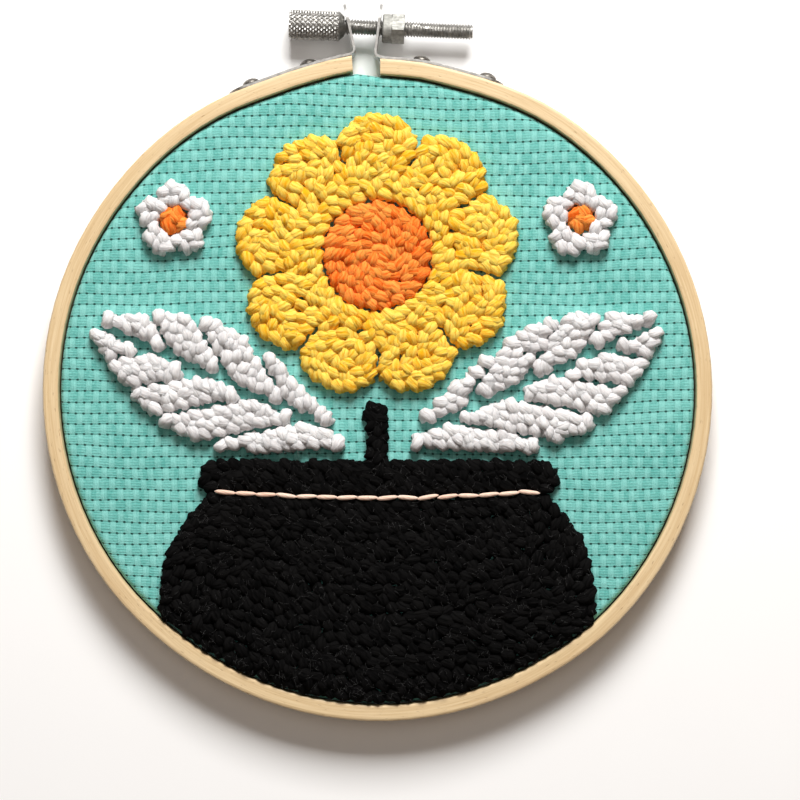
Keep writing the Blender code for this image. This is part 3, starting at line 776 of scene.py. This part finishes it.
yarn_fibres, group_in, group_out = new_group(
    "yarn_fibres", {"Strand": "Vector", "Loop Tone": "Float"},
    {"Tone": "Float", "Stray": "Float", "Height": "Float"},
)
axes = add_node(yarn_fibres, "ShaderNodeSeparateXYZ", {0: group_in.outputs["Strand"]}).outputs
loop_tone = group_in.outputs["Loop Tone"]
twisted = calc(yarn_fibres, "MULTIPLY_ADD", axes["Y"], 0.55, axes["X"])
fibre_place = triple(
    yarn_fibres, calc(yarn_fibres, "MULTIPLY", twisted, 17.0),
    calc(yarn_fibres, "MULTIPLY", axes["Y"], 2.6),
    calc(yarn_fibres, "MULTIPLY", loop_tone, 40.0),
)
fibres = noise(yarn_fibres, fibre_place, 1.0, 3.0, 0.75)
ply_place = triple(
    yarn_fibres, calc(yarn_fibres, "MULTIPLY", twisted, 4.0),
    calc(yarn_fibres, "MULTIPLY", axes["Y"], 2.0),
    calc(yarn_fibres, "MULTIPLY_ADD", loop_tone, 40.0, 11.0),
)
ply_wander = noise(yarn_fibres, ply_place, 1.0, 1.0)
ply_wander = calc(yarn_fibres, "MULTIPLY", ply_wander, 5.0)
ply_turn = calc(yarn_fibres, "MULTIPLY_ADD", twisted, math.pi * 5, ply_wander)
ply_wave = calc(yarn_fibres, "ABSOLUTE", calc(yarn_fibres, "SINE", ply_turn))
plies = calc(yarn_fibres, "POWER", ply_wave, 0.55)
tone = calc(yarn_fibres, "MULTIPLY", fibres, 0.95)
# Painted shade: the grooves between plies darker and the ply crests lighter.
tone = calc(yarn_fibres, "MULTIPLY_ADD", plies, 0.26, tone)
tone = calc(yarn_fibres, "MULTIPLY_ADD", loop_tone, 0.20, tone)
height = calc(yarn_fibres, "MULTIPLY_ADD", plies, 0.5, fibres)
tone = ramp(yarn_fibres, tone, 0.48, 1.02)
stray = ramp(yarn_fibres, loop_tone, 1.2, 1.8)
put_out(yarn_fibres, group_out, {"Tone": tone, "Stray": stray, "Height": height})


def yarn_finish(name, dark, light, stray, depth, glow=(1.0, 0.9, 0.85), glow_share=0.22):
    material, tree, shader = new_finish(name, 0.95, specular=0.06)
    shader.inputs["Subsurface Weight"].default_value = glow_share
    shader.inputs["Subsurface Radius"].default_value = glow
    shader.inputs["Subsurface Scale"].default_value = 0.0010
    fibres = add_node(tree, "ShaderNodeGroup", node_tree=yarn_fibres)
    strand = add_node(tree, "ShaderNodeUVMap", uv_map="strand").outputs["UV"]
    loop_tone = add_node(tree, "ShaderNodeAttribute", attribute_name="loop_tone").outputs["Fac"]
    tree.links.new(strand, fibres.inputs["Strand"])
    tree.links.new(loop_tone, fibres.inputs["Loop Tone"])
    colour = blend_colours(tree, fibres.outputs["Tone"], dark, light)
    colour = blend_colours(tree, fibres.outputs["Stray"], colour, stray)
    tree.links.new(colour, shader.inputs["Base Color"])
    join_bump(tree, shader, fibres.outputs["Height"], depth)
    return material


YARNS = {  # each with the colours of its shaded, its lit and its stray fibres, and its bump
    "yarn_black": yarn_finish(
        "black_yarn", (0.0008, 0.0008, 0.0009), (0.0056, 0.0053, 0.0053), (0.13, 0.13, 0.13),
        0.00034, glow_share=0.0,
    ),
    "yarn_yellow": yarn_finish(
        "yellow_yarn", (0.86, 0.405, 0.010), (1.0, 0.70, 0.130), (1.0, 0.72, 0.20),
        0.00026, (1.0, 0.62, 0.15),
    ),
    "yarn_orange": yarn_finish(
        "orange_yarn", (0.80, 0.115, 0.008), (1.0, 0.350, 0.070), (1.0, 0.42, 0.12),
        0.00026, (1.0, 0.35, 0.10),
    ),
    "yarn_white": yarn_finish(
        "white_yarn", (0.62, 0.600, 0.605), (0.82, 0.805, 0.800), (0.9, 0.89, 0.88), 0.00020,
        glow_share=0.40,
    ),
    "pale_pink": yarn_finish(
        "pale_pink_thread", (0.86, 0.53, 0.40), (0.97, 0.73, 0.60), (0.97, 0.73, 0.60), 0.00009,
    ),
}


def stitch_area(node, yarn, bare_lines, seed, hairs):
    """One area's pile and the stitches behind it; hairs is the number of stray fibres to a loop."""
    draws = np.random.default_rng(seed)
    outlines = area_outlines(node)
    places = loop_places(outlines, bare_lines, draws)
    number = len(places)
    direction, depth = places[:, 2], places[:, 3]
    turn = np.arctan2(places[:, 0], places[:, 1] - HOOP_UP)
    rim_gap = cloth_rim(turn) - np.hypot(places[:, 0], places[:, 1] - HOOP_UP)
    crushed = (rim_gap < CRUSHED_WITHIN)[:, None]
    places[:, :2] += np.column_stack([np.sin(turn), np.cos(turn)]) * crushed * CRUSHED_BY
    first = depth < FIRST_ROW + 0.0004
    yaw = direction + draws.normal(0, 1, number) * np.where(first, 0.13, 0.42)
    lean = np.abs(draws.normal(0, 0.12, number)) + np.where(first, 0.06, 0.0)
    # the first row leans out over the cloth, which is to the right of its direction
    lean_way = np.where(first, direction - math.pi / 2 + draws.normal(0, 0.5, number),
                        draws.uniform(0, 2 * math.pi, number))
    scales = np.column_stack([
        draws.uniform(0.88, 1.20, number),
        draws.uniform(0.88, 1.10, number),
        draws.uniform(0.88, 1.02, number) - np.where(first, 0.04, 0.0),
    ])
    scales[:, 2] *= np.clip(0.42 + rim_gap / 0.009, 0.6, 1.0)  # lower towards the rim
    tone = draws.uniform(0, 1, number)
    kinds = draws.integers(0, len(loop_templates), number)
    batches = []
    for kind, template in enumerate(loop_templates):
        mine = kinds == kind
        if mine.any():
            copies = turned_copies(
                template["points"], places[mine], CLOTH_FACE, yaw[mine], lean[mine],
                scales[mine], lean_way[mine],
            )
            squeeze = draws.uniform(0, 2 * math.pi, (mine.sum(), 1, 3))
            copies += UNEVEN_BY * np.sin(copies[..., [1, 2, 0]] * UNEVEN_RATE + squeeze)
            batches.append((copies, template["faces"], template["uv"], tone[mine]))
    batches.append(stray_hairs(places, int(hairs * number), draws))
    pile = gathered_mesh(node + "_pile", batches)
    pile.data.materials.append(YARNS[yarn])
    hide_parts(node)
    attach(pile, "hoop")

    behind = places[rim_gap > INNER_RING_WITHIN]
    number = len(behind)
    scales = np.column_stack([
        draws.uniform(0.92, 1.12, number), draws.uniform(0.9, 1.1, number), -np.ones(number),
    ])
    copies = turned_copies(
        flat_template["points"], behind, BACK_FACE, behind[:, 2] + draws.normal(0, 0.12, number),
        np.zeros(number), scales, np.zeros(number),
    )
    # turned over to lie behind the cloth, so its faces are wound the other way
    flipped = flat_template["faces"][:, ::-1]
    flipped_uv = flat_template["uv"].reshape(-1, 4, 2)[:, ::-1].reshape(-1, 2)
    stitches = gathered_mesh(
        node + "_stitches", [(copies, flipped, flipped_uv, draws.uniform(0, 1, number))]
    )
    stitches.data.materials.append(YARNS[yarn])
    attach(stitches, "hoop")


# Pot. The largest area, in black yarn that fills the hoop's lower part as far as the outer ring,
# with a narrow gap left open across its shoulder for a pink line.
LINE_UP = -0.0243  # where the line would meet the pot's sides, from the hoop's centre
LINE_DIP = 0.0016  # how far it bends down between them
HALF_SHOULDER = 0.0405
HALF_LINE = 0.0385
LINE_STITCHES = 16
LINE_GAP = 0.00025  # half the gap's width
POT_LINE = [
    (x, HOOP_UP + LINE_UP - LINE_DIP * math.cos(x / HALF_SHOULDER * math.pi / 2))
    for x in np.linspace(-HALF_LINE, HALF_LINE, LINE_STITCHES + 1)
]
pot_gaps = [(start, end, LINE_GAP) for start, end in zip(POT_LINE, POT_LINE[1:])]
stitch_area("pot", "yarn_black", pot_gaps, 11, 2.6)

# Flower. Nine petals in yellow yarn round an orange middle, with a short bare slit of cloth
# between each two petals.
PETALS = 9
FLOWER_UP = 0.0320  # from the hoop's centre
SLIT_START = 0.0225  # from the flower's middle
SLIT_END = 0.032
SLIT_GAP = 0.00035  # half a slit's width
flower_low, flower_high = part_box("flower")
flower_middle = Vector(((flower_low.x + flower_high.x) / 2, HOOP_UP + FLOWER_UP))
slits = []
for petal in range(PETALS):
    turn = math.pi / 2 + 2 * math.pi * (petal + 0.5) / PETALS
    way = Vector((math.cos(turn), math.sin(turn)))
    slits.append((flower_middle + way * SLIT_START, flower_middle + way * SLIT_END, SLIT_GAP))
stitch_area("flower", "yarn_yellow", slits, 12, 3.0)
stitch_area("flower_centre", "yarn_orange", [], 13, 3.0)

# Leaves. Two in white yarn, each stitched as an upper and a lower half with the bare midrib
# between them, and with bare veins of cloth that leave the midrib and slant towards the tip.
LEAF_FOOT = Vector((0.0050, -0.0122))  # of the right leaf, from the hoop's centre
LEAF_TIP = Vector((0.0690, 0.0165))
VEIN_LENGTH = 0.026
VEIN_GAP = 0.00042  # half a vein's width
VEINS = {  # where each vein leaves the midrib, as a share of its length, and their slant
    "upper": ((0.24, 0.46, 0.67), 0.62),
    "lower": ((0.17, 0.37, 0.56, 0.75), -0.62),
}
for seed, side in enumerate(("left", "right")):
    mirror = -1 if side == "left" else 1
    for half, (shares, slant) in VEINS.items():
        along = LEAF_TIP - LEAF_FOOT
        veins = []
        for share in shares:
            start = LEAF_FOOT + along * share
            way = along.normalized()
            turned = Vector((
                way.x * math.cos(slant) - way.y * math.sin(slant),
                way.x * math.sin(slant) + way.y * math.cos(slant),
            ))
            end = start + turned * VEIN_LENGTH
            veins.append((
                (start.x * mirror, start.y + HOOP_UP), (end.x * mirror, end.y + HOOP_UP), VEIN_GAP,
            ))
        stitch_area(f"leaf_{side}_{half}", "yarn_white", veins, 14 + seed, 3.5)

# Two small blossoms. Five round petals in white yarn, stitched as one area round an orange
# middle, one on each side of the flower.
for seed, side in enumerate(("left", "right")):
    stitch_area("blossom_" + side, "yarn_white", [], 20 + seed, 3.0)
    stitch_area(f"blossom_{side}_centre", "yarn_orange", [], 24 + seed, 3.0)

# Pink line. Flat stitches of a thinner pale pink thread, laid end to end in the gap that the pile
# leaves across the pot.
LINE_HEIGHT = 0.0120
THREAD_SHAPE = (1.42, 0.48, 1.0)  # along, across and up, to a flat stitch of the yarn
line_places = []
for start, end in zip(POT_LINE, POT_LINE[1:]):
    middle = ((start[0] + end[0]) / 2, (start[1] + end[1]) / 2)
    line_places.append([*middle, math.atan2(end[1] - start[1], end[0] - start[0]), 0.0])
line_places = np.array(line_places)
draws = np.random.default_rng(31)
number = len(line_places)
copies = turned_copies(
    flat_template["points"], line_places, LINE_HEIGHT,
    line_places[:, 2] + draws.normal(0, 0.09, number), np.zeros(number),
    np.tile(THREAD_SHAPE, (number, 1)), np.zeros(number),
)
pink_line = gathered_mesh(
    "pink_line", [(copies, flat_template["faces"], flat_template["uv"], draws.uniform(0, 1, number))]
)
pink_line.data.materials.append(YARNS["pale_pink"])
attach(pink_line, "hoop")

# Clamp's straps and rivets. Strips of nickel-plated steel bent along the ring and turned up as
# ears, each held by two domed rivets, all slightly dulled from handling.
brushed_metal, group_in, group_out = new_group(
    "brushed_metal", {"Position": "Vector"}, {"Tone": "Float", "Roughness": "Float", "Height": "Float"}
)
rubbed = noise(brushed_metal, group_in.outputs["Position"], 900.0, 3.0, 0.65)
stretched_place = add_node(
    brushed_metal, "ShaderNodeVectorMath",
    {0: group_in.outputs["Position"], 1: (500.0, 500.0, 9000.0)}, operation="MULTIPLY",
).outputs["Vector"]
scratches = noise(brushed_metal, stretched_place, 1.0, 2.0)
tone = ramp(brushed_metal, rubbed, 0.3, 0.7)
roughness = ramp(brushed_metal, scratches, 0.25, 0.75, 0.34, 0.54)
height = calc(brushed_metal, "MULTIPLY_ADD", scratches, 0.6, rubbed)
put_out(brushed_metal, group_out, {"Tone": tone, "Roughness": roughness, "Height": height})


def steel_finish(name, dark, light, depth, metallic=1.0, dulled=0.0):
    material, tree, shader = new_finish(name, 0.3, metallic=metallic)
    metal = add_node(tree, "ShaderNodeGroup", node_tree=brushed_metal)
    tree.links.new(place_of(tree), metal.inputs["Position"])
    tree.links.new(blend_colours(tree, metal.outputs["Tone"], dark, light), shader.inputs["Base Color"])
    roughness = calc(tree, "ADD", metal.outputs["Roughness"], dulled)
    tree.links.new(roughness, shader.inputs["Roughness"])
    join_bump(tree, shader, metal.outputs["Height"], depth)
    return material


PRESS_DEPTH = 0.00027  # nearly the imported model's gap
PRESS_REACH = 0.0024  # points farther from the wood than this stay
PRESS_FADE = 0.0010


def press_on(piece, base):
    """Moves a fitting's part that lies along the wood onto it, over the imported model's gap."""
    wood = bmesh.new()
    wood.from_mesh(base.data)
    surface = BVHTree.FromBMesh(wood)
    wood.free()
    for vertex in piece.data.vertices:
        touched, normal, _, gap = surface.find_nearest(vertex.co, PRESS_REACH)
        if touched and (vertex.co - touched).dot(normal) > 0:
            vertex.co -= normal * PRESS_DEPTH * min(1.0, (PRESS_REACH - gap) / PRESS_FADE)


plated_steel = steel_finish("plated_steel", (0.34, 0.335, 0.325), (0.50, 0.495, 0.48), 0.000006)
# The rivets get a darker steel than the straps.
rivet_steel = steel_finish("dark_rivet_steel", (0.10, 0.09, 0.08), (0.30, 0.28, 0.25), 0.000012)
for side in ("left", "right"):
    strap = copy_of("strap_" + side, f"strap_{side}_steel")
    strap.data.materials.append(plated_steel)
    press_on(strap, outer_ring)
    soften_edges(strap, 0.00012, 50)
    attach(strap, "hoop")
    for number in (1, 2):
        rivet = copy_of(f"rivet_{side}_{number}", f"rivet_{side}_{number}_steel")
        rivet.data.materials.append(rivet_steel)
        press_on(rivet, outer_ring)
        soften_edges(rivet, 0.00008, 50)
        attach(rivet, "hoop")

# Nut. A turned and milled steel hexagon with a round shoulder, its corners rounded off by a
# chamfer, screwed up against the right ear.
nut_steel = steel_finish(
    "milled_steel", (0.28, 0.28, 0.26), (0.48, 0.48, 0.45), 0.000018, metallic=0.6, dulled=0.22
)
nut = copy_of("nut", "nut_steel")
nut.data.materials.append(nut_steel)
soften_edges(nut, 0.00012, 35)
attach(nut, "hoop")

# Thumbscrew. One turned bar: a knurled head with a small chamfer and a tapered neck, and a rod
# with a rolled M4 thread.
AXIS_POINT = Vector((-0.0030, HOOP_UP + 0.08724, 0.005))
AXIS_TILT = math.radians(-2.5)
HEAD_START = -0.01825  # places along the axis
TAPER_START = -0.0063
HEAD_RADIUS = 0.0036
HEAD_CHAMFER = 0.0005
NECK_END = -0.0050
NECK_RADIUS = 0.0024
ROD_END = 0.0259
THREAD_RADIUS = 0.0020
THREAD_DEPTH = 0.00052
THREAD_PITCH = 0.0007
TIP_LENGTH = 0.0006  # the tapered end of the rod
TIP_TAPER = 0.0004
KNURLS_ROUND = 20
KNURL_PITCH = 0.00130  # along the head
KNURL_DEPTH = 0.00042
axis_way = Vector((math.cos(AXIS_TILT), math.sin(AXIS_TILT), 0.0))
axis_side = Vector((-axis_way.y, axis_way.x, 0.0))
axis_up = Vector((0.0, 0.0, 1.0))


def turned_bar(name, rings, sides, radius):
    """A closed bar round the screw's axis: rings are places along it, radius(along, turn)."""
    bpy.ops.object.select_all(action="DESELECT")
    bpy.ops.mesh.primitive_grid_add(x_subdivisions=sides, y_subdivisions=len(rings) - 1, size=2.0)
    bar = bpy.context.object
    bar.name = name
    for vertex in bar.data.vertices:
        along = rings[round((vertex.co.y + 1) / 2 * (len(rings) - 1))]
        turn = math.pi * (vertex.co.x + 1)
        out = radius(along, turn)
        vertex.co = (
            AXIS_POINT + axis_way * along
            + axis_side * (out * math.cos(turn)) + axis_up * (out * math.sin(turn))
        )
    bpy.ops.object.mode_set(mode="EDIT")
    bpy.ops.mesh.select_all(action="SELECT")
    bpy.ops.mesh.remove_doubles(threshold=0.0000015)
    bpy.ops.mesh.select_all(action="DESELECT")
    bpy.ops.mesh.select_non_manifold()
    bpy.ops.mesh.edge_face_add()
    bpy.ops.mesh.select_all(action="SELECT")
    bpy.ops.mesh.normals_make_consistent(inside=False)
    bpy.ops.object.mode_set(mode="OBJECT")
    return bar


def head_radius(along, turn):
    """The knurl is two sets of grooves that cross, and fades out at both ends of the head."""
    if along >= TAPER_START:
        share = (along - TAPER_START) / (NECK_END - TAPER_START)
        return HEAD_RADIUS + (NECK_RADIUS - HEAD_RADIUS) * share
    chamfer = min(1.0, (along - HEAD_START) / HEAD_CHAMFER)
    one = turn / (2 * math.pi) * KNURLS_ROUND + along / KNURL_PITCH
    other = turn / (2 * math.pi) * KNURLS_ROUND - along / KNURL_PITCH
    ridge = 1 - 2 * max(abs(one % 1 - 0.5), abs(other % 1 - 0.5))
    cut = KNURL_DEPTH * (1 - min(1.0, ridge * 1.25))
    fade = min(1.0, (along - HEAD_START) / 0.0004, (TAPER_START - along) / 0.0003)
    return HEAD_RADIUS - HEAD_CHAMFER * (1 - chamfer) - cut * max(0.0, fade)


def rod_radius(along, turn):
    """A helical thread, whose end runs out in a short taper."""
    wave = (along / THREAD_PITCH - turn / (2 * math.pi)) % 1
    flank = min(1.0, abs(wave - 0.5) * 2 * 1.15)
    tip = min(1.0, max(0.0, (ROD_END - along) / TIP_LENGTH))
    return (THREAD_RADIUS - TIP_TAPER * (1 - tip)) - THREAD_DEPTH * flank * (0.3 + 0.7 * tip)


head_rings = list(np.linspace(HEAD_START, TAPER_START, 93))
head_rings += list(np.linspace(TAPER_START, NECK_END, 5))[1:]
screw_steel = steel_finish("knurled_steel", (0.34, 0.335, 0.32), (0.58, 0.57, 0.55), 0.000008)
screw_head = turned_bar("screw_head", head_rings, KNURLS_ROUND * 9, head_radius)
rod_rings = list(np.linspace(NECK_END - 0.0004, ROD_END, 178))
screw_rod = turned_bar("screw_rod", rod_rings, 26, rod_radius)
bpy.ops.object.select_all(action="DESELECT")
screw_rod.select_set(True)
screw_head.select_set(True)
bpy.context.view_layer.objects.active = screw_head
bpy.ops.object.join()
thumbscrew = bpy.context.object
thumbscrew.name = "knurled_screw"
thumbscrew.data.materials.append(screw_steel)
bpy.ops.object.shade_smooth_by_angle(angle=math.radians(28))
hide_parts("thumbscrew")
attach(thumbscrew, "thumbscrew")
